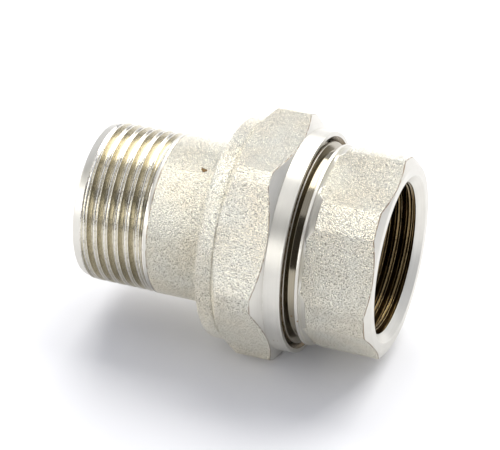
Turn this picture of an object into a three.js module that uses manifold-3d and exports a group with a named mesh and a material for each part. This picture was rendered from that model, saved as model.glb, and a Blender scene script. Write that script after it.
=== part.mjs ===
// Straight union fitting, G 3/4 male by G 3/4 female, in millimetres.
// The pipe axis lies along +X with the female end at +X; +Z is up and a flat of the nut faces down.
// The origin is on the pipe axis, halfway between the two end faces.
import * as THREE from 'three';
import { mergeVertices } from 'three/addons/utils/BufferGeometryUtils.js';
import Module from 'manifold-3d';

const wasm = await Module();
wasm.setup();

// ---- driving dimensions --------------------------------------------------------------------
// Stations along the axis are measured from the male end face.
const OVERALL_LENGTH = 51.4;
const SEGMENTS = 36;             // facets round a full circle
const GAP = 0.3;                 // clearance left between pieces that touch

// G 3/4 pipe thread, 14 threads per inch
const PIPE = { pitch: 1.814, major: 13.22, minor: 12.06 };
// G 1 union thread, 11 threads per inch: the body's thread and, with running clearance, the nut's
const UNION_PITCH = 2.309;
const BODY_THREAD = { pitch: UNION_PITCH, major: 16.5, minor: 15.05, crest: 0.17, root: 0.23 };
const NUT_THREAD = { pitch: UNION_PITCH, major: 16.8, minor: 15.3, crest: 0.22, root: 0.16 };

// male tailpiece
const MALE_THREAD_END = 12.5;
const MALE_LEAD = 1.5;            // smooth cone before the first groove
const MALE_TIP_RADIUS = 12.8;
const TUBE_RADIUS = 13.3;
const TAIL_BORE_RADIUS = 9.6;
const FLANGE_START = 25.7;
const FLANGE_END = 28.2;
const FLANGE_RADIUS = 14.85;

// union nut
const NUT_START = 23.2;
const NUT_END = 37.4;
const NUT_HOLE_RADIUS = 13.75;
const NUT_SHOULDER = FLANGE_START - GAP;
const NUT_RELIEF_END = 27.6;
const NUT_COLLAR_RADIUS = 18.4;
const NUT_COLLAR_ROUND = 0.9;
const NUT_FLATS = 36.4;
const NUT_CORNER_RADIUS = 20.25;
const NUT_HEX_START = 26.2;
const NUT_CORNER_START = 27.25;
const NUT_CHAMFER_START = 33.25;
const NUT_CHAMFER_END = 34.65;
const NUT_LIP_RADIUS = 18.1;
const NUT_MOUTH_RADIUS = 17.4;

// sealing washer
const WASHER_START = FLANGE_END + GAP;
const WASHER_THICKNESS = 1.6;
const WASHER_INNER_RADIUS = 10.6;

// female body
const BODY_START = WASHER_START + WASHER_THICKNESS + GAP;
const BODY_BORE_RADIUS = 10;
const BODY_THREAD_END = 37.2;
const NECK_START = 37.9;
const NECK_RADIUS = 15;
const RING_START = 39.2;
const RING_RADIUS = 16.4;
const RING_END = 39.75;
const GROOVE_RADIUS = 15.9;
const BODY_HEX_START = 40.05;
const SHOULDER_RADIUS = 16.1;      // corners turned down beside the groove
const BODY_CORNER_START = 41.1;
const BODY_FLATS = 30.6;
const BODY_CORNER_RADIUS = 16.5;
const BODY_HEX_TURN = THREE.MathUtils.degToRad(9);
const BODY_CHAMFER = 0.8;
const END_FACE_RADIUS = 15.1;
const SOCKET_DEPTH = 14;
const COUNTERSINK_RADIUS = 13.6;

// ---- geometry helpers ----------------------------------------------------------------------

// A closed mesh becomes a solid: shared corners merged, flat slivers dropped, faces pointing out.
function toSolid(geometry) {
  geometry.deleteAttribute('normal');
  geometry.deleteAttribute('uv');
  const merged = mergeVertices(geometry, 1e-4);
  const position = merged.attributes.position.array;
  const triangles = [];
  let volume = 0;
  for (let i = 0; i < merged.index.count; i += 3) {
    const [a, b, c] = [0, 1, 2].map((k) => merged.index.getX(i + k));
    if (a === b || b === c || c === a) continue;
    triangles.push(a, b, c);
    const [p, q, r] = [a, b, c].map((k) => new THREE.Vector3().fromArray(position, 3 * k));
    volume += p.dot(q.cross(r));
  }
  if (volume < 0) triangles.reverse();
  return new wasm.Manifold(new wasm.Mesh({
    numProp: 3,
    vertProperties: new Float32Array(position),
    triVerts: new Uint32Array(triangles),
  }));
}

// A solid of revolution about X from [station, radius] corners, closed on the axis or on itself.
function turned(corners) {
  const points = corners.map(([station, radius]) => new THREE.Vector2(radius, station));
  if (corners[0][1] > 0) points.push(points[0].clone());
  return toSolid(new THREE.LatheGeometry(points, SEGMENTS).rotateZ(-Math.PI / 2).rotateX(Math.PI / 2));
}

// A plain round bar between two stations, cut from holes and bores.
function bar(start, end, radius) {
  return turned([[start, 0], [start, radius], [end, radius], [end, 0]]);
}

// Corners of a quarter round that turns from one direction to the other about a centre.
function arc(station, radius, size, fromDegrees, toDegrees, steps) {
  return Array.from({ length: steps + 1 }, (_, i) => {
    const angle = THREE.MathUtils.degToRad(fromDegrees + (toDegrees - fromDegrees) * i / steps);
    return [station + size * Math.cos(angle), radius + size * Math.sin(angle)];
  });
}

// A hexagonal bar with one pair of flats facing up and down before it is turned about X.
function hexBar(start, end, acrossFlats, turn) {
  const corner = acrossFlats / Math.sqrt(3);
  const outline = new THREE.Shape(Array.from({ length: 6 }, (_, i) => {
    const angle = turn + i * Math.PI / 3;
    return new THREE.Vector2(corner * Math.cos(angle), corner * Math.sin(angle));
  }));
  const geometry = new THREE.ExtrudeGeometry(outline, { depth: end - start, bevelEnabled: false });
  // the outline's X and Y become Y and Z, and its depth runs along X
  const toAxis = new THREE.Matrix4().makeBasis(
    new THREE.Vector3(0, 1, 0), new THREE.Vector3(0, 0, 1), new THREE.Vector3(1, 0, 0));
  return toSolid(geometry.applyMatrix4(toAxis).translate(start, 0, 0));
}

// A bar with a right-hand helical thread about X, cut square at both stations.
function threadedBar({ pitch, major, minor, crest = 0.2, root = 0.2 }, start, end) {
  // one turn of the thread form: crest flat, flank, root flat, flank, as fractions of the pitch
  const form = [[0, major], [crest, major], [(1 + crest - root) / 2, minor], [(1 + crest + root) / 2, minor]];
  const radiusAt = (fraction) => {
    const f = fraction - Math.floor(fraction);
    const next = form.findIndex(([at]) => at > f);
    const [x0, r0] = form[(next < 0 ? form.length : next) - 1];
    const [x1, r1] = next < 0 ? [1, major] : form[next];
    return r0 + (r1 - r0) * (f - x0) / (x1 - x0);
  };
  const turns = Math.ceil((end - start) / pitch) + 2;
  const rows = turns * form.length;
  const columns = Array.from({ length: SEGMENTS }, (_, i) => {
    const lead = i / SEGMENTS;
    const angle = lead * 2 * Math.PI;
    return Array.from({ length: rows }, (_unused, k) => {
      const [at, radius] = form[k % form.length];
      const free = start + pitch * (Math.floor(k / form.length) + at + lead - 1);
      const station = THREE.MathUtils.clamp(free, start, end);
      const r = station === free ? radius : radiusAt((station - start) / pitch - lead);
      return [station, r * Math.cos(angle), r * Math.sin(angle)];
    });
  });
  const corners = [];
  const quad = (a, b, c, d) => corners.push(...a, ...b, ...c, ...a, ...c, ...d);
  columns.forEach((column, i) => {
    const wrap = i === SEGMENTS - 1;
    const next = columns[(i + 1) % SEGMENTS];
    const shift = wrap ? form.length : 0;
    for (let k = 0; k + 1 + shift < rows; k += 1) {
      quad(column[k], next[k + shift], next[k + 1 + shift], column[k + 1]);
    }
    corners.push(start, 0, 0, ...next[0], ...column[0]);
    corners.push(end, 0, 0, ...column[rows - 1], ...next[rows - 1]);
  });
  const geometry = new THREE.BufferGeometry();
  geometry.setAttribute('position', new THREE.Float32BufferAttribute(corners, 3));
  return toSolid(geometry);
}

// ---- pieces --------------------------------------------------------------------------------

// Threaded tube with the flange that the nut draws up behind.
function maleTailpiece() {
  const thread = threadedBar(PIPE, MALE_LEAD - 0.1, MALE_THREAD_END);
  const lead = turned([
    [0, 0], [0, MALE_TIP_RADIUS - 0.2], [0.2, MALE_TIP_RADIUS], [MALE_LEAD, PIPE.major], [MALE_LEAD, 0],
  ]);
  const tube = turned([
    [MALE_THREAD_END - 0.5, 0], [MALE_THREAD_END - 0.5, PIPE.minor], [MALE_THREAD_END, TUBE_RADIUS - 0.1],
    [MALE_THREAD_END + 0.6, TUBE_RADIUS], [FLANGE_START, TUBE_RADIUS], [FLANGE_START, FLANGE_RADIUS],
    [FLANGE_END - 0.4, FLANGE_RADIUS], [FLANGE_END, FLANGE_RADIUS - 0.4], [FLANGE_END, 0],
  ]);
  const bore = turned([
    [-1, 0], [-1, TAIL_BORE_RADIUS + 1.6], [0.6, TAIL_BORE_RADIUS], [FLANGE_END - 0.4, TAIL_BORE_RADIUS],
    [FLANGE_END + 0.6, TAIL_BORE_RADIUS + 1], [FLANGE_END + 0.6, 0],
  ]);
  return thread.add(lead).add(tube).subtract(bore);
}

// Hexagon nut with a round collar at the back, a turned lip in front and the union thread inside.
function unionNut() {
  const collar = turned([
    [NUT_START, 0],
    ...arc(NUT_START + NUT_COLLAR_ROUND, NUT_COLLAR_RADIUS - NUT_COLLAR_ROUND, NUT_COLLAR_ROUND, 180, 90, 3),
    [NUT_HEX_START - 0.15, NUT_COLLAR_RADIUS], [NUT_HEX_START, NUT_FLATS / 2 - 0.05],
    [NUT_CHAMFER_END - 0.2, NUT_FLATS / 2 - 0.05], [NUT_CHAMFER_END, NUT_LIP_RADIUS],
    [NUT_END - 0.2, NUT_LIP_RADIUS], [NUT_END, NUT_LIP_RADIUS - 0.2], [NUT_END, 0],
  ]);
  const envelope = turned([
    [NUT_HEX_START - 0.2, 0], [NUT_HEX_START - 0.2, NUT_COLLAR_RADIUS - 0.3],
    [NUT_CORNER_START, NUT_CORNER_RADIUS],
    [NUT_CHAMFER_START, NUT_CORNER_RADIUS], [NUT_CHAMFER_END, NUT_LIP_RADIUS - 0.1], [NUT_CHAMFER_END, 0],
  ]);
  const hexagon = hexBar(NUT_HEX_START - 0.2, NUT_CHAMFER_END, NUT_FLATS, 0).intersect(envelope);
  const inside = turned([
    [NUT_START - 1, 0], [NUT_START - 1, NUT_HOLE_RADIUS + 1.4], [NUT_START + 0.4, NUT_HOLE_RADIUS],
    [NUT_SHOULDER, NUT_HOLE_RADIUS], [NUT_SHOULDER, NUT_THREAD.major], [NUT_RELIEF_END, NUT_THREAD.major],
    [NUT_RELIEF_END + 1, NUT_THREAD.minor], [NUT_END - 1.8, NUT_THREAD.minor], [NUT_END, NUT_MOUTH_RADIUS],
    [NUT_END + 1, NUT_MOUTH_RADIUS], [NUT_END + 1, 0],
  ]);
  const tap = threadedBar(NUT_THREAD, unionThreadStart(NUT_RELIEF_END), NUT_END + 1);
  return collar.add(hexagon).subtract(inside).subtract(tap);
}

// Flat rubber washer squeezed between the tailpiece's flange and the body.
function sealingWasher() {
  return bar(WASHER_START, WASHER_START + WASHER_THICKNESS, FLANGE_RADIUS)
    .subtract(bar(WASHER_START - 1, WASHER_START + WASHER_THICKNESS + 1, WASHER_INNER_RADIUS));
}

// Body with the union thread at its back and a threaded pipe socket in its hexagon.
function femaleBody() {
  const stub = threadedBar(BODY_THREAD, unionThreadStart(BODY_START), BODY_THREAD_END)
    .intersect(turned([
      [BODY_START, 0], [BODY_START, BODY_THREAD.minor - 0.1], [BODY_START + 1.6, BODY_THREAD.major + 0.05],
      [BODY_THREAD_END, BODY_THREAD.major + 0.05], [BODY_THREAD_END, 0],
    ]));
  const neck = turned([
    [BODY_THREAD_END - 0.7, 0], [BODY_THREAD_END - 0.7, BODY_THREAD.minor],
    [BODY_THREAD_END, BODY_THREAD.major],
    [NECK_START - 0.3, BODY_THREAD.major], [NECK_START, NECK_RADIUS], [RING_START, NECK_RADIUS],
    [RING_START, RING_RADIUS - 0.15], [RING_START + 0.15, RING_RADIUS], [RING_END, RING_RADIUS],
    [RING_END, GROOVE_RADIUS], [BODY_HEX_START, GROOVE_RADIUS],
    [BODY_HEX_START + 0.1, BODY_FLATS / 2 - 0.1], [OVERALL_LENGTH - 1, END_FACE_RADIUS - 0.1],
    [OVERALL_LENGTH, END_FACE_RADIUS - 0.1], [OVERALL_LENGTH, 0],
  ]);
  const envelope = turned([
    [BODY_HEX_START, 0], [BODY_HEX_START, SHOULDER_RADIUS], [BODY_CORNER_START - 0.3, SHOULDER_RADIUS],
    [BODY_CORNER_START, BODY_CORNER_RADIUS],
    [OVERALL_LENGTH - BODY_CHAMFER, BODY_CORNER_RADIUS], [OVERALL_LENGTH, END_FACE_RADIUS], [OVERALL_LENGTH, 0],
  ]);
  const hexagon = hexBar(BODY_HEX_START, OVERALL_LENGTH, BODY_FLATS, BODY_HEX_TURN).intersect(envelope);
  const socketEnd = OVERALL_LENGTH - SOCKET_DEPTH;
  const bore = turned([
    [BODY_START - 1, 0], [BODY_START - 1, BODY_BORE_RADIUS], [socketEnd, BODY_BORE_RADIUS],
    [socketEnd, PIPE.minor], [OVERALL_LENGTH - 1.4, PIPE.minor], [OVERALL_LENGTH, COUNTERSINK_RADIUS],
    [OVERALL_LENGTH + 1, COUNTERSINK_RADIUS], [OVERALL_LENGTH + 1, 0],
  ]);
  const tap = threadedBar(PIPE, socketEnd + 1, OVERALL_LENGTH + 1);
  return stub.add(neck).add(hexagon).subtract(bore).subtract(tap);
}

// Both union threads start a whole number of pitches apart, so that they are in mesh.
function unionThreadStart(station) {
  const datum = BODY_START;
  return datum + Math.floor((station - datum) / UNION_PITCH) * UNION_PITCH;
}

// ---- assembly ------------------------------------------------------------------------------

const nickel = (color, roughness) => new THREE.MeshStandardMaterial({ color, roughness, metalness: 1 });
const rubber = new THREE.MeshStandardMaterial({ color: 0x1c1c1c, roughness: 0.7, metalness: 0 });

function piece(name, solid, material) {
  const { vertProperties, triVerts } = solid.getMesh();
  const geometry = new THREE.BufferGeometry();
  geometry.setAttribute('position', new THREE.BufferAttribute(new Float32Array(vertProperties), 3));
  geometry.setIndex(new THREE.BufferAttribute(new Uint32Array(triVerts), 1));
  geometry.computeVertexNormals();
  const mesh = new THREE.Mesh(geometry, material);
  mesh.name = name;
  mesh.position.x = -OVERALL_LENGTH / 2;
  return mesh;
}

const unionFitting = new THREE.Group();
unionFitting.add(
  piece('male_tailpiece', maleTailpiece(), nickel(0xc9c5b8, 0.35)),
  piece('union_nut', unionNut(), nickel(0xcfccc0, 0.4)),
  piece('sealing_washer', sealingWasher(), rubber),
  piece('female_body', femaleBody(), nickel(0xcfccc0, 0.4)),
);

export default unionFitting;
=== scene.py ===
"""Looks of a straight pipe union: nickel-plated brass tailpiece, hexagon nut and body, with a rubber washer.

Every length below is in millimetres unless its name says otherwise. The pipe axis is X, and the stations
along it are counted from the male end face, which the frame gives.
"""
import math

import bmesh
import bpy
import numpy as np
from mathutils import Matrix, Vector


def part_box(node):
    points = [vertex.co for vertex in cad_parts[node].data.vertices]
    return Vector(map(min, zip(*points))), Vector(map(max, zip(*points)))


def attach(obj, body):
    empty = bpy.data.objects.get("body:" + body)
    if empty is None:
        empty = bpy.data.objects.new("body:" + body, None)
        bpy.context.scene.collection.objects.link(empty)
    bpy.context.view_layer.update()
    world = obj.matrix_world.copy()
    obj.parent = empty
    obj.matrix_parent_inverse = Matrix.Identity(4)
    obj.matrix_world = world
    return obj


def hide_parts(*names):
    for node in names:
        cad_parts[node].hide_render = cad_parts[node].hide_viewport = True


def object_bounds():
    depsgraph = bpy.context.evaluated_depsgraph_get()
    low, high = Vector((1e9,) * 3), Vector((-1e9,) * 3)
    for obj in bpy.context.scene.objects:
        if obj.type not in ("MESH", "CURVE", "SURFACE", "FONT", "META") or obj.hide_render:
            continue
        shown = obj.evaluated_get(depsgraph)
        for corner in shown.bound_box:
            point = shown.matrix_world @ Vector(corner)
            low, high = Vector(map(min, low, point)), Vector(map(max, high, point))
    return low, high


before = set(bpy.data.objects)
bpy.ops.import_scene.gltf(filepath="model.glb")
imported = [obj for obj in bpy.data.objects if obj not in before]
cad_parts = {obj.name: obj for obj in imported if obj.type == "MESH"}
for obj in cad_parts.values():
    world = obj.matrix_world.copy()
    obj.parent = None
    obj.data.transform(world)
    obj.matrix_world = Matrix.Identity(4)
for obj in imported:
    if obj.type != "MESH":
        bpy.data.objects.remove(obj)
cad_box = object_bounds()

MM = 0.001
TURN = 2 * math.pi
# material slots; the fourth, for the insides of holes, and the fifth, for the neck, are coloured darker than
# the plate outside as painted shade
BLASTED, TURNED, THREAD, BORE, SHADED_NECK = range(5)

# ---- sizes that the frame gives ---------------------------------------------------------------

ORIGIN_MM = cad_box[0].x / MM          # row-frame X of station 0
LENGTH = (cad_box[1].x - cad_box[0].x) / MM


def stations(node):
    """First and last station of a CAD node."""
    low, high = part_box(node)
    return low.x / MM - ORIGIN_MM, high.x / MM - ORIGIN_MM


NUT_START, NUT_END = stations("union_nut")
WASHER_START, WASHER_END = stations("sealing_washer")
BODY_START = stations("female_body")[0]
TAIL_END = stations("male_tailpiece")[1]

# ---- details that follow the same drawing as the frame ----------------------------------------

PIPE = {"pitch": 1.814, "major": 13.22, "minor": 12.1}
UNION = {"pitch": 2.309, "major": 16.5, "minor": 15.05}
UNION_NUT = {"pitch": 2.309, "major": 16.8, "minor": 15.3}

MALE_TIP = 12.8
MALE_LEAD = 1.5
MALE_THREAD_START = PIPE["major"] - 0.05    # radius where the lead cone meets the thread
MALE_THREAD_END = 12.5
TUBE = 13.3
TUBE_FOOT = TUBE - 0.08                     # radius where the thread runs out at the tube
TAIL_BORE = 9.6
FLANGE = 14.85
FLANGE_START = TAIL_END - 2.5

NUT_FLAT = 18.2
NUT_CORNER = 20.25
NUT_COLLAR = 18.35
NUT_COLLAR_ROUND = 0.9
NUT_HEX_START = NUT_START + 3
NUT_CHAMFER_END = NUT_END - 2.75
NUT_CHAMFER = math.tan(math.radians(33))    # length over height of the cones at both ends of the hexagon
NUT_LIP = 18.1
NUT_MOUTH = 17.4
NUT_HOLE = 13.75
NUT_SHOULDER = FLANGE_START - 0.3
NUT_RELIEF_END = TAIL_END - 0.6

WASHER_HOLE = 10.6

BODY_FLAT = 15.3
BODY_CORNER = 16.5
BODY_TURN = math.radians(9)
BODY_BORE = 10
BODY_THREAD_END = 37.2
NECK_START = 37.75
NECK_BACK, NECK_FRONT = 15.15, 14.8         # a very shallow cone
RING_START = 39.2
RING_END = 39.75
RING = 16.4
GROOVE = 15.9
BODY_HEX_START = 40.05
BODY_CHAMFER = 0.8
END_FACE = 15.1
COUNTERSINK = 13.6
COUNTERSINK_DEPTH = 1.3
SOCKET_DEPTH = 14

# small brown marks: (station, angle about the axis in degrees, radius there, size)
TUBE_SPOTS = [(19.8, 108, 13.3, 1.25)]
LIP_SPOTS = [(35.6, 209, 18.1, 0.6), (36.3, 209, 18.1, 0.35)]
RING_SPOTS = [(39.7, 194, 16.4, 0.45), (38.1, 197, 15.0, 0.45)]

# ---- mesh kit ---------------------------------------------------------------------------------

SUPPORT = 0.06      # a ring this far inside each end of a long stretch keeps its shading flat
WELD = 0.001        # points closer than this become one


class Skin:
    """A closed surface about the X axis, laid down in patches of rings and welded at the end."""

    def __init__(self, angles):
        self.angles = angles
        self.points, self.quads, self.slots, self.edge = [], [], [], []
        self.count = 0

    def patch(self, x, r, slots, edge, shift=0):
        """Rings of points: x and r are (columns, rows). The last column meets the first shift rows on."""
        columns, rows = x.shape
        a = self.angles[:, None]
        self.points.append(np.stack([x, r * np.cos(a), r * np.sin(a)], -1).reshape(-1, 3))
        index = self.count + np.arange(columns * rows).reshape(columns, rows)
        right = np.roll(index, -1, axis=0)
        if shift:
            right[-1] = np.append(index[0, shift:], np.repeat(index[0, -1], shift))
        quads = np.stack([index[:, :-1], index[:, 1:], right[:, 1:], right[:, :-1]], -1)
        self.quads.append(quads.reshape(-1, 4))
        self.slots.append(np.broadcast_to(slots, (columns, rows - 1)).reshape(-1))
        self.edge.append(edge.reshape(-1))
        self.count += columns * rows

    def profile(self, stops, steps=4):
        """Sweeps an outline. Each stop is (station, radius, rounding, slot of the stretch after it, wear of
        the edge); station, radius, slot and wear may be arrays with one value for each column."""
        def spread(value):
            return np.broadcast_to(np.asarray(value, float), len(self.angles))

        nodes = [np.stack([spread(stop[0]), spread(stop[1])], -1) for stop in stops]
        grid, slots, edge = [nodes[0]], [], [spread(0)]

        def ring(points, slot, wear):
            gap = np.linalg.norm(points - grid[-1], axis=1, keepdims=True)
            if gap.max() > 8 * SUPPORT:
                last, share = grid[-1], np.minimum(SUPPORT / np.maximum(gap, 1e-9), 0.3)
                for t in (share, 1 - share):
                    grid.append(last + (points - last) * t)
                    slots.append(spread(slot))
                    edge.append(spread(0))
            grid.append(points)
            slots.append(spread(slot))
            edge.append(spread(wear))

        for j in range(1, len(stops)):
            here, rounding, before = nodes[j], stops[j][2], stops[j - 1][3]
            if j == len(stops) - 1 or not rounding:
                ring(here, before, stops[j][4] if j < len(stops) - 1 else 0)
                continue
            back, ahead = nodes[j - 1] - here, nodes[j + 1] - here
            size = [np.maximum(np.linalg.norm(v, axis=1, keepdims=True), 1e-9) for v in (back, ahead)]
            room = np.minimum(rounding, 0.4 * np.minimum(*size))
            start, end = here + back / size[0] * room, here + ahead / size[1] * room
            for s in range(steps + 1):
                t = s / steps
                ring((1 - t) ** 2 * start + 2 * t * (1 - t) * here + t * t * end,
                     before if t <= 0.5 else stops[j][3], spread(stops[j][4]) * 4 * t * (1 - t))
        grid = np.stack(grid, 1)
        self.patch(grid[..., 0], grid[..., 1], np.stack(slots, 1), np.stack(edge, 1))

    def thread(self, size, start, end, fades, slot, bound=None, inside=False):
        """A right-hand thread between two stations. fades holds, for each end, the radius of the plain
        surface there and how many pitches the thread takes to rise from it; bound(x) is a cone that cuts
        the crests off. The edge value of a thread is its height, from root 0 to crest 1."""
        crest, root = (size["minor"], size["major"]) if inside else (size["major"], size["minor"])
        lead = self.angles[:, None] / TURN
        k = np.arange((math.ceil((end - start) / size["pitch"]) + 3) * len(THREAD_FORM))
        at, height = np.array(THREAD_FORM).T
        free = start + size["pitch"] * (k // len(at) - 1 + at[k % len(at)] + lead)
        x = np.clip(free, start, end)
        r = root + (crest - root) * height[k % len(at)] + 0 * lead
        for station, (level, pitches) in zip((start, end), fades):
            if pitches:
                r = level + (r - level) * smoothstep(np.abs(x - station) / (pitches * size["pitch"]))
        if bound:
            r = np.maximum(r, bound(x)) if inside else np.minimum(r, bound(x))
        self.patch(x, r, slot, np.clip((r - root) / (crest - root), 0, 1), shift=len(at))

    def build(self, name, materials):
        mesh = bpy.data.meshes.new(name)
        points = np.concatenate(self.points) + [ORIGIN_MM, 0, 0]
        mesh.from_pydata((points * MM).tolist(), [], np.concatenate(self.quads).tolist())
        mesh.polygons.foreach_set("material_index", np.concatenate(self.slots).astype(np.int32))
        edge = mesh.attributes.new("edge", "FLOAT", "POINT")
        edge.data.foreach_set("value", np.concatenate(self.edge).astype(np.float32))
        solid = bmesh.new()
        solid.from_mesh(mesh)
        bmesh.ops.remove_doubles(solid, verts=solid.verts, dist=WELD * MM)
        bmesh.ops.recalc_face_normals(solid, faces=solid.faces)
        open_edges = [e for e in solid.edges if not e.is_manifold]
        solid.to_mesh(mesh)
        solid.free()
        mesh.shade_smooth()
        piece = bpy.data.objects.new(name, mesh)
        bpy.context.scene.collection.objects.link(piece)
        for material in materials:
            mesh.materials.append(material)
        print(name, len(mesh.vertices), "vertices,", len(open_edges), "open edges")
        return piece


# one pitch of a pipe thread: fraction of the pitch, and height from root 0 to crest 1
THREAD_FORM = [
    (0.00, 0.84), (0.07, 0.86), (0.12, 0.95), (0.15, 1.00), (0.175, 0.97), (0.20, 0.86), (0.25, 0.58),
    (0.31, 0.33), (0.37, 0.14), (0.43, 0.035), (0.50, 0.00), (0.57, 0.035), (0.63, 0.14), (0.69, 0.33),
    (0.75, 0.58), (0.80, 0.86), (0.825, 0.97), (0.85, 1.00), (0.88, 0.95), (0.93, 0.86),
]


def even_angles(count):
    return np.arange(count) * TURN / count


def hexagon_angles(flat, corner, turn, more=()):
    """Columns for a hexagon with rounded corners, closest where a flat meets its corner. more adds
    columns, in degrees from the middle of a flat."""
    bend = math.degrees(math.acos(flat / corner))
    half = np.unique(np.concatenate([
        np.linspace(0, bend - 2, 9), np.linspace(bend - 1.4, bend + 1.4, 9), np.linspace(bend + 1.9, 30, 3),
        more]))
    sextant = np.concatenate([-half[:0:-1], half[:-1]])
    degrees = np.concatenate([90 + 60 * i + sextant for i in range(6)])
    return np.sort((np.radians(degrees) + turn) % TURN)


def hexagon(angles, flat, corner, turn, fillet=0.07):
    """Radius of a hexagon whose corners are cut off by one circle, softened where flat and circle meet."""
    from_flat = (angles - turn) % (TURN / 6) - TURN / 12
    straight = flat / np.cos(from_flat)
    return (straight + corner - np.sqrt((straight - corner) ** 2 + fillet ** 2)) / 2


def arc(station, radius, size, start_deg, end_deg, slot, steps=8):
    """Stops along part of a circle in the outline."""
    turns = np.radians(np.linspace(start_deg, end_deg, steps + 1))
    return [(station + size * math.cos(a), radius + size * math.sin(a), 0, slot, 0) for a in turns]


def smoothstep(value):
    t = np.clip(value, 0, 1)
    return t * t * (3 - 2 * t)


# ---- materials --------------------------------------------------------------------------------


class Shader:
    """A small helper that adds nodes to a new material and joins them."""

    def __init__(self, name):
        self.material = bpy.data.materials.new(name)
        self.material.use_nodes = True
        self.nodes = self.material.node_tree.nodes
        self.links = self.material.node_tree.links
        self.surface = self.nodes["Principled BSDF"]

    def add(self, kind, inputs=None, **settings):
        node = self.nodes.new(kind)
        for key, value in settings.items():
            setattr(node, key, value)
        for key, value in (inputs or {}).items():
            self.put(node.inputs[key], value)
        return node

    def put(self, socket, value):
        if isinstance(value, bpy.types.NodeSocket):
            self.links.new(value, socket)
        else:
            socket.default_value = value

    def math(self, operation, *values):
        node = self.add("ShaderNodeMath", operation=operation)
        for socket, value in zip(node.inputs, values):
            self.put(socket, value)
        return node.outputs[0]

    def place(self):
        """Place on the piece, in metres."""
        return self.add("ShaderNodeTexCoord").outputs["Object"]

    def noise(self, scale, detail=2.0, vector=None, roughness=0.5):
        node = self.add("ShaderNodeTexNoise", {
            "Vector": vector or self.place(), "Scale": scale, "Detail": detail, "Roughness": roughness})
        return node.outputs["Fac"]

    def ramp(self, value, *stops):
        """Maps a value to grey or colour between (position, colour) stops."""
        node = self.add("ShaderNodeValToRGB", {"Fac": value})
        while len(node.color_ramp.elements) < len(stops):
            node.color_ramp.elements.new(0.5)
        for element, (position, colour) in zip(node.color_ramp.elements, stops):
            element.position = position
            element.color = (*colour, 1) if isinstance(colour, tuple) else (colour, colour, colour, 1)
        return node.outputs["Color"]

    def mix(self, factor, a, b):
        node = self.add("ShaderNodeMix", data_type="RGBA")
        self.put(node.inputs["Factor"], factor)
        for socket, value in zip((node.inputs[6], node.inputs[7]), (a, b)):
            self.put(socket, (*value, 1) if isinstance(value, tuple) else value)
        return node.outputs[2]

    def bump(self, height, distance, strength=1.0):
        inputs = {"Height": height, "Distance": distance, "Strength": strength}
        return self.add("ShaderNodeBump", inputs).outputs["Normal"]

    def finish(self, colour, roughness, normal, metallic=1.0):
        self.put(self.surface.inputs["Base Color"], colour)
        self.put(self.surface.inputs["Roughness"], roughness)
        self.put(self.surface.inputs["Normal"], normal)
        self.put(self.surface.inputs["Metallic"], metallic)
        return self.material


BRASS = (0.21, 0.12, 0.04)              # bare metal along worn edges
STAIN = (0.24, 0.13, 0.03)
PIT, PLATE, PLATE_GLINT = (0.26, 0.24, 0.19), (0.85, 0.82, 0.73), (0.98, 0.955, 0.87)
COOL_PLATE = (0.96, 0.97, 0.95)
TURNED_PLATE, TURNED_LINE = (0.63, 0.615, 0.565), (0.50, 0.48, 0.42)
# thread colours: the groove colour is painted shade and the crest colour a painted highlight
SHADED_THREAD_GROOVE, HIGHLIT_THREAD_CREST = (0.60, 0.56, 0.45), (0.88, 0.86, 0.81)
# inside the holes: painted shade, a dark brown in place of the plate colour, a little lighter on the crests
SHADED_BORE_GROOVE, SHADED_BORE_CREST = (0.15, 0.105, 0.045), (0.26, 0.20, 0.11)
# the neck: painted shade, a darker plate colour than on the other turned surfaces
SHADED_NECK_PLATE = (0.29, 0.255, 0.185)


def edge_value(shader):
    return shader.add("ShaderNodeAttribute", attribute_name="edge").outputs["Fac"]


def worn(shader, colour, amount):
    """Lets brown metal show along worn edges, in broken lines."""
    edge = edge_value(shader)
    broken = shader.math("MULTIPLY", edge, shader.ramp(shader.noise(1500), (0.40, 0.15), (0.52, 1.0)))
    return shader.mix(shader.math("MULTIPLY", broken, amount), colour, BRASS)


def stained(shader, colour, spots):
    """Small brown marks. Each spot is (station, angle about the axis in degrees, radius there, size)."""
    ragged = shader.math("MULTIPLY", shader.noise(1800, 3.0), 1.4)
    for station, degrees, radius, size in spots:
        a = math.radians(degrees)
        centre = (MM * (ORIGIN_MM + station), MM * radius * math.cos(a), MM * radius * math.sin(a))
        away = shader.add("ShaderNodeVectorMath", {0: shader.place(), 1: centre}, operation="DISTANCE")
        spread = shader.math("ADD", shader.math("DIVIDE", away.outputs["Value"], size * MM), ragged)
        colour = shader.mix(shader.ramp(spread, (0.95, 0.9), (1.4, 0.0)), colour, STAIN)
    return colour


def blasted_nickel(name, tint, spots):
    """Plate over shot-blasted brass: fine pits that sparkle, with a faint warm and cool mottle."""
    s = Shader(name)
    grain = s.noise(5600, 2.0, roughness=0.6)
    pits = s.add("ShaderNodeTexVoronoi", {"Vector": s.place(), "Scale": 4800.0}).outputs["Distance"]
    speckle = s.ramp(grain, (0.37, PIT), (0.44, PLATE), (0.58, PLATE_GLINT))
    mottle = s.ramp(s.noise(130, 4.0), (0.35, tint), (0.65, COOL_PLATE))
    colour = s.add("ShaderNodeMix", data_type="RGBA", blend_type="MULTIPLY")
    s.put(colour.inputs["Factor"], 1.0)
    s.put(colour.inputs[6], speckle)
    s.put(colour.inputs[7], mottle)
    height = s.math("ADD", grain, s.math("MULTIPLY", pits, 0.5))
    roughness = s.ramp(grain, (0.3, 0.34), (0.7, 0.18))
    marked = stained(s, worn(s, colour.outputs[2], 1.0), spots)
    return s.finish(marked, roughness, s.bump(height, 0.0004, 1.0))


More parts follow.
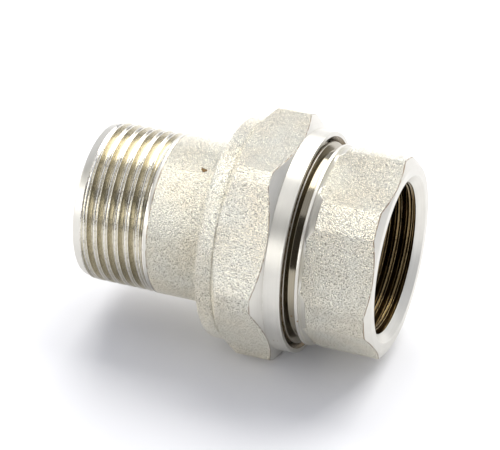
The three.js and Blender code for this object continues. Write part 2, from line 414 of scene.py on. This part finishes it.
def lathe_rings(shader, scale):
    """Very fine rings round the axis, as a cutting tool leaves them."""
    xyz = shader.add("ShaderNodeSeparateXYZ", {"Vector": shader.place()})
    x, y, z = (xyz.outputs[i] for i in range(3))
    square = shader.math("ADD", shader.math("MULTIPLY", y, y), shader.math("MULTIPLY", z, z))
    radius = shader.math("SQRT", square)
    drift = shader.math("MULTIPLY", shader.noise(60), 0.0004)
    place = shader.add("ShaderNodeCombineXYZ", {"X": shader.math("ADD", x, drift), "Y": radius, "Z": 0.0})
    return shader.noise(scale, 3.0, place.outputs[0], 0.7)


def turned_nickel(name, base, rough, spots):
    """Plate over lathe-turned brass."""
    s = Shader(name)
    lines = lathe_rings(s, 7000)
    cloud = s.noise(250, 4.0)
    colour = s.mix(s.ramp(cloud, (0.35, 0.0), (0.7, 1.0)), base, tuple(min(1.0, c * 1.08) for c in base))
    colour = s.mix(s.ramp(lines, (0.35, 0.25), (0.55, 0.0)), colour, TURNED_LINE)
    roughness = s.math("ADD", s.math("MULTIPLY", lines, 0.16), rough)
    marked = stained(s, worn(s, colour, 0.8), spots)
    return s.finish(marked, roughness, s.bump(lines, 0.00002, 0.5))


def threaded_nickel(name, groove, crest):
    """Plate in a thread: rougher in the grooves, which carry painted shade, and smoother on the crests, which
    carry a painted highlight, with torn little burrs.
    """
    s = Shader(name)
    lines = lathe_rings(s, 5000)
    burrs = s.noise(2700, 2.0)
    height = edge_value(s)
    # painted shade in the grooves and a painted highlight on the crests, set by the thread's height
    colour = s.mix(s.ramp(height, (0.86, 0.0), (0.96, 1.0)), groove, crest)
    colour = s.mix(s.ramp(burrs, (0.34, 0.6), (0.44, 0.0)), colour, tuple(c * 0.5 for c in groove))
    roughness = s.ramp(height, (0.5, 0.2), (0.95, 0.08))
    rise = s.math("ADD", s.math("MULTIPLY", burrs, s.ramp(height, (0.7, 0.04), (0.95, 1.0))), lines)
    return s.finish(colour, roughness, s.bump(rise, 0.00007, 0.7))


def washer_rubber():
    s = Shader("washer_rubber")
    grain = s.noise(2500, 2.0)
    colour = s.ramp(grain, (0.3, 0.012), (0.7, 0.035))
    return s.finish(colour, s.ramp(grain, (0.3, 0.75), (0.7, 0.6)), s.bump(grain, 0.00003, 0.5), 0.0)


def nickel_set(name, warm, blasted_spots=(), turned_spots=()):
    """Materials in the order of the slots."""
    return [
        blasted_nickel(name + "_blasted", warm, blasted_spots),
        turned_nickel(name + "_turned", TURNED_PLATE, 0.27, turned_spots),
        threaded_nickel(name + "_thread", SHADED_THREAD_GROOVE, HIGHLIT_THREAD_CREST),
        # the insides of the holes are coloured with painted shade
        threaded_nickel(name + "_shaded_bore", SHADED_BORE_GROOVE, SHADED_BORE_CREST),
        # the neck is coloured with painted shade
        turned_nickel(name + "_shaded_neck", SHADED_NECK_PLATE, 0.06, turned_spots),
    ]


# ---- pieces -----------------------------------------------------------------------------------


def male_tailpiece():
    skin = Skin(even_angles(168))
    skin.profile([
        (MALE_THREAD_END, TUBE_FOOT, 0, TURNED, 0),
        (MALE_THREAD_END + 0.15, TUBE - 0.02, 0.05, TURNED, 0),
        (MALE_THREAD_END + 0.6, TUBE, 0.12, BLASTED, 0.9),
        (FLANGE_START, TUBE, 0.2, TURNED, 0),
        (FLANGE_START, FLANGE, 0.2, TURNED, 0),
        (TAIL_END, FLANGE, 0.4, BORE, 0),
        (TAIL_END, TAIL_BORE + 0.5, 0.1, BORE, 0),
        (TAIL_END - 0.5, TAIL_BORE, 0.1, BORE, 0),
        (1.6, TAIL_BORE, 0.2, TURNED, 0),
        (0, TAIL_BORE + 1.5, 0.15, TURNED, 0),
        (0, MALE_TIP - 0.15, 0.1, TURNED, 0.4),
        (0.2, MALE_TIP, 0.12, TURNED, 0),
        (MALE_LEAD, MALE_THREAD_START, 0, TURNED, 0),
    ])
    skin.thread(PIPE, MALE_LEAD, MALE_THREAD_END, ((MALE_THREAD_START, 0.45), (TUBE_FOOT, 0.6)), THREAD)
    return skin.build("male_tailpiece_plated", nickel_set("tailpiece", (0.97, 0.94, 0.86), TUBE_SPOTS))


def union_nut():
    angles = hexagon_angles(NUT_FLAT, NUT_CORNER, 0)
    skin = Skin(angles)
    hexagon_r = hexagon(angles, NUT_FLAT, NUT_CORNER, 0)
    foot = np.minimum(hexagon_r, NUT_COLLAR)
    back = NUT_HEX_START + 0.05 + (hexagon_r - foot) * NUT_CHAMFER
    front = NUT_CHAMFER_END - (hexagon_r - NUT_LIP) * NUT_CHAMFER
    mouth_start = NUT_END - 0.1
    skin.profile([
        (NUT_START + 0.4, NUT_HOLE, 0, TURNED, 0),
        (NUT_START, NUT_HOLE + 0.4, 0.1, BLASTED, 0),
        *arc(NUT_START + NUT_COLLAR_ROUND, NUT_COLLAR - NUT_COLLAR_ROUND, NUT_COLLAR_ROUND, 180, 90, BLASTED),
        (NUT_HEX_START - 0.2, NUT_COLLAR, 0.1, BLASTED, 0),
        (NUT_HEX_START, foot - 0.2, 0.06, BLASTED, 0),
        (NUT_HEX_START + 0.05, foot, 0.03, BLASTED, 0),
        (back, hexagon_r, 0.15, BLASTED, 0),
        (front, hexagon_r, 0.12, TURNED, 1),
        (NUT_CHAMFER_END, NUT_LIP, 0.04, TURNED, 0.5),
        (NUT_END, NUT_LIP, 0.14, TURNED, 0),
        (NUT_END, NUT_MOUTH, 0.08, BORE, 0.3),
        (mouth_start, NUT_MOUTH - 0.1, 0, BORE, 0),
    ])
    skin.thread(UNION_NUT, NUT_RELIEF_END, mouth_start, ((UNION_NUT["major"], 1), (0, 0)), BORE,
                lambda x: NUT_MOUTH - 0.1 - (mouth_start - x), inside=True)
    skin.profile([
        (NUT_RELIEF_END, UNION_NUT["major"], 0, BORE, 0),
        (NUT_SHOULDER, UNION_NUT["major"], 0.3, BORE, 0),
        (NUT_SHOULDER, NUT_HOLE, 0.15, BORE, 0),
        (NUT_START + 0.4, NUT_HOLE, 0, BORE, 0),
    ])
    return skin.build("union_nut_plated", nickel_set("nut", (0.97, 0.94, 0.87), (), LIP_SPOTS))


def sealing_washer():
    skin = Skin(even_angles(96))
    middle, rounding = 12.7, 0.3        # the outline starts and ends halfway up a face
    skin.profile([
        (WASHER_START, middle, 0, 0, 0),
        (WASHER_START, FLANGE, rounding, 0, 0),
        (WASHER_END, FLANGE, rounding, 0, 0),
        (WASHER_END, WASHER_HOLE, rounding, 0, 0),
        (WASHER_START, WASHER_HOLE, rounding, 0, 0),
        (WASHER_START, middle, 0, 0, 0),
    ])
    return skin.build("sealing_washer_rubber", [washer_rubber()])


def female_body():
    # the tool that cut the groove also turned down the corners beside it, along a shallow cone
    cone_low, cone_high, cone_length = 15.95, 16.3, 0.9
    angles = hexagon_angles(BODY_FLAT, BODY_CORNER, BODY_TURN, (16, 17, 18, 19))
    skin = Skin(angles)
    hexagon_r = hexagon(angles, BODY_FLAT, BODY_CORNER, BODY_TURN)
    share = np.clip((hexagon_r - cone_low) / (cone_high - cone_low), 0, 1)
    cut_end = BODY_HEX_START + share * cone_length
    cut_slot = np.where(share > 0.02, TURNED, BLASTED)
    face_edge = LENGTH - (hexagon_r - END_FACE) / (BODY_CORNER - END_FACE) * BODY_CHAMFER
    socket_end = LENGTH - SOCKET_DEPTH
    sink_end, sink_r = LENGTH - COUNTERSINK_DEPTH, PIPE["minor"] + 0.25
    skin.profile([
        (BODY_THREAD_END, UNION["major"], 0, TURNED, 0),
        # the neck, from the end of the thread to the ring, carries painted shade
        (NECK_START - 0.25, UNION["major"], 0.08, SHADED_NECK, 0),
        (NECK_START, NECK_BACK, 0.12, SHADED_NECK, 0),
        (RING_START, NECK_FRONT, 0.15, TURNED, 0),
        (RING_START, RING, 0.12, TURNED, 0.2),
        (RING_END, RING, 0.06, TURNED, 0.4),
        (RING_END + 0.03, GROOVE, 0.05, TURNED, 0),
        (BODY_HEX_START, np.minimum(hexagon_r, cone_low), 0.03, cut_slot, 0),
        (cut_end + 0.02, np.minimum(hexagon_r, cone_high), 0.03, cut_slot, share),
        (cut_end + 0.10, hexagon_r, 0.04, BLASTED, share),
        (face_edge, hexagon_r, 0.14, TURNED, 1),
        (LENGTH, END_FACE, 0.1, TURNED, 0),
        (LENGTH, COUNTERSINK, 0.08, TURNED, 0),
        (sink_end, sink_r, 0, TURNED, 0),
    ])
    skin.thread(PIPE, socket_end + 1, sink_end, ((PIPE["major"], 1.2), (sink_r, 0.3)), BORE, inside=True)
    skin.profile([
        (socket_end + 1, PIPE["major"], 0, BORE, 0),
        (socket_end, PIPE["major"], 0.2, BORE, 0),
        (socket_end, BODY_BORE, 0.2, BORE, 0),
        (BODY_START, BODY_BORE, 0.2, TURNED, 0),
        (BODY_START, UNION["minor"] - 0.3, 0.12, TURNED, 0),
        (BODY_START + 0.1, UNION["minor"] - 0.2, 0, TURNED, 0),
    ])
    skin.thread(UNION, BODY_START + 0.1, BODY_THREAD_END, ((0, 0), (UNION["major"], 0.6)), THREAD,
                lambda x: UNION["minor"] - 0.2 + (x - BODY_START - 0.1))
    return skin.build("female_body_plated", nickel_set("body", (0.97, 0.94, 0.87), (), RING_SPOTS))


def add_pieces():
    for piece, node, body, slot in (
        (male_tailpiece(), "male_tailpiece", "tailpiece", "tailpiece_nickel"),
        (union_nut(), "union_nut", "nut", "nut_nickel"),
        (sealing_washer(), "sealing_washer", "washer", "washer_rubber"),
        (female_body(), "female_body", "body", "body_nickel"),
    ):
        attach(piece, body)
        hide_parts(node)


# ---- studio -----------------------------------------------------------------------------------


def floor():
    size = 3.0
    mesh = bpy.data.meshes.new("floor")
    corners = [(-size, -size), (size, -size), (size, size), (-size, size)]
    mesh.from_pydata([(x, y, cad_box[0].z) for x, y in corners], [], [(0, 1, 2, 3)])
    plane = bpy.data.objects.new("floor", mesh)
    bpy.context.scene.collection.objects.link(plane)
    s = Shader("floor_paper")
    mesh.materials.append(s.finish((0.86, 0.86, 0.875, 1), 0.9, s.bump(s.noise(300), 0.00001, 0.1), 0.0))


def softbox(name, place, aim, size, power, colour):
    light = bpy.data.lights.new(name, "AREA")
    light.shape = "RECTANGLE"
    light.size, light.size_y = size
    light.energy = power
    light.color = colour
    lamp = bpy.data.objects.new(name, light)
    lamp.location = place
    lamp.rotation_euler = (Vector(aim) - Vector(place)).to_track_quat("-Z", "Y").to_euler()
    bpy.context.scene.collection.objects.link(lamp)


def card(name, azimuths, elevations, shade, glow=0.0):
    """A curved panel that is seen only in reflections. Azimuth 0 is in front, along -Y, and grows to +X."""
    radius, columns, rows = 0.55, 12, 6
    points, faces = [], []
    for j in range(rows + 1):
        elevation = math.radians(elevations[0] + (elevations[1] - elevations[0]) * j / rows)
        for i in range(columns + 1):
            azimuth = math.radians(azimuths[0] + (azimuths[1] - azimuths[0]) * i / columns)
            points.append((radius * math.sin(azimuth) * math.cos(elevation),
                           -radius * math.cos(azimuth) * math.cos(elevation), radius * math.sin(elevation)))
            if i and j:
                k = j * (columns + 1) + i
                faces.append((k - columns - 2, k - columns - 1, k, k - 1))
    mesh = bpy.data.meshes.new(name)
    mesh.from_pydata(points, [], faces)
    s = Shader(name)
    s.put(s.surface.inputs["Emission Color"], (1.0, 0.99, 0.97, 1))
    s.put(s.surface.inputs["Emission Strength"], glow)
    mesh.materials.append(s.finish((*shade, 1), 0.9, s.bump(s.noise(5), 0.0001), 0.0))
    panel = bpy.data.objects.new(name, mesh)
    panel.visible_camera = panel.visible_diffuse = panel.visible_shadow = False
    bpy.context.scene.collection.objects.link(panel)


def lights():
    world = bpy.data.worlds.new("studio")
    world.use_nodes = True
    background = world.node_tree.nodes["Background"]
    background.inputs["Color"].default_value = (0.91, 0.93, 1.0, 1)
    background.inputs["Strength"].default_value = 0.74
    bpy.context.scene.world = world
    softbox("top_box", (0.05, 0.7, 0.85), (0, 0, 0), (1.4, 1.1), 19.5, (1.0, 0.985, 0.95))


def camera():
    """A long lens from the front right, well above the axis."""
    azimuth, elevation, roll = (math.radians(d) for d in (21.08, 34.61, -0.82))
    distance, lens = 0.3614, 160.3
    aim = Vector((0, 0.00036, 0.00048))
    back = Vector((math.sin(azimuth) * math.cos(elevation), -math.cos(azimuth) * math.cos(elevation),
                   math.sin(elevation)))
    data = bpy.data.cameras.new("camera")
    data.lens = lens
    data.clip_start = 0.01
    viewer = bpy.data.objects.new("camera", data)
    turn = (-back).to_track_quat("-Z", "Y").to_matrix().to_4x4() @ Matrix.Rotation(roll, 4, "Z")
    viewer.matrix_world = Matrix.Translation(aim + back * distance) @ turn
    bpy.context.scene.collection.objects.link(viewer)
    bpy.context.scene.camera = viewer
    bpy.context.scene.view_settings.view_transform = "Standard"


DARK, PALE = (0.03, 0.026, 0.02), (0.5, 0.5, 0.5)

camera()
add_pieces()
floor()
card("camera_side_dark", (-6, 32), (-1, 62), DARK)
card("left_dark", (-95, -20), (29, 45), DARK)
card("front_strip", (-95, -10), (5, 28), PALE, 2.1)
card("upper_front", (-100, -22), (47, 72), PALE, 1.0)
lights()
